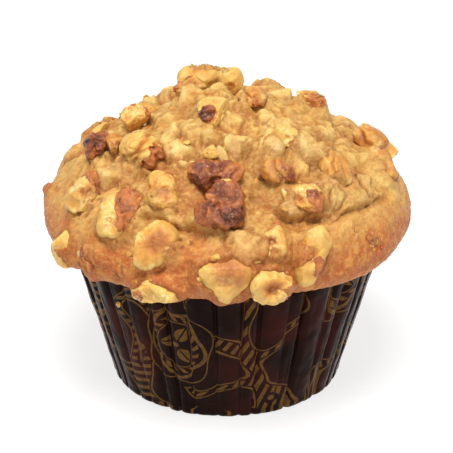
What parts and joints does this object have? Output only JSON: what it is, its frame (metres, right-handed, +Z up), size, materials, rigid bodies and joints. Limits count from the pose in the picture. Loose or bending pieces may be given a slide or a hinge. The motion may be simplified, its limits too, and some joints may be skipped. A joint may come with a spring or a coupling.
{
  "type": "muffin",
  "caption": "Large domed muffin with broken walnut kernels over its spreading golden top, baked in a pleated dark brown paper cup.",
  "frame": {"origin": "centre of the paper cup's flat base, on the surface it stands on", "axes": "+Z up through the peak; -Y is the front, +X its right"},
  "size_m": [0.0928, 0.0993, 0.0778],
  "materials": {
    "cake": "matte",
    "walnut": "satin",
    "paper": "gloss"
  },
  "bodies": {
    "root": {"cake": "cake", "paper_case": "paper", "walnut_01": "walnut", "walnut_02": "walnut", "walnut_03": "walnut", "walnut_04": "walnut", "walnut_05": "walnut", "walnut_06": "walnut", "walnut_07": "walnut", "walnut_08": "walnut", "walnut_09": "walnut", "walnut_10": "walnut", "walnut_11": "walnut", "walnut_12": "walnut", "walnut_13": "walnut", "walnut_14": "walnut", "walnut_15": "walnut", "walnut_16": "walnut", "walnut_17": "walnut", "walnut_18": "walnut", "walnut_19": "walnut", "walnut_20": "walnut", "walnut_21": "walnut", "walnut_22": "walnut", "walnut_23": "walnut", "walnut_24": "walnut", "walnut_25": "walnut", "walnut_26": "walnut", "walnut_27": "walnut", "walnut_28": "walnut", "walnut_29": "walnut", "walnut_30": "walnut", "walnut_31": "walnut", "walnut_32": "walnut", "walnut_33": "walnut", "walnut_34": "walnut", "walnut_35": "walnut", "walnut_36": "walnut", "walnut_37": "walnut", "walnut_38": "walnut", "walnut_39": "walnut", "walnut_40": "walnut", "walnut_41": "walnut", "walnut_42": "walnut", "walnut_43": "walnut", "walnut_44": "walnut", "walnut_45": "walnut", "walnut_46": "walnut", "walnut_47": "walnut", "walnut_48": "walnut", "walnut_49": "walnut"}
  },
  "joints": []
}
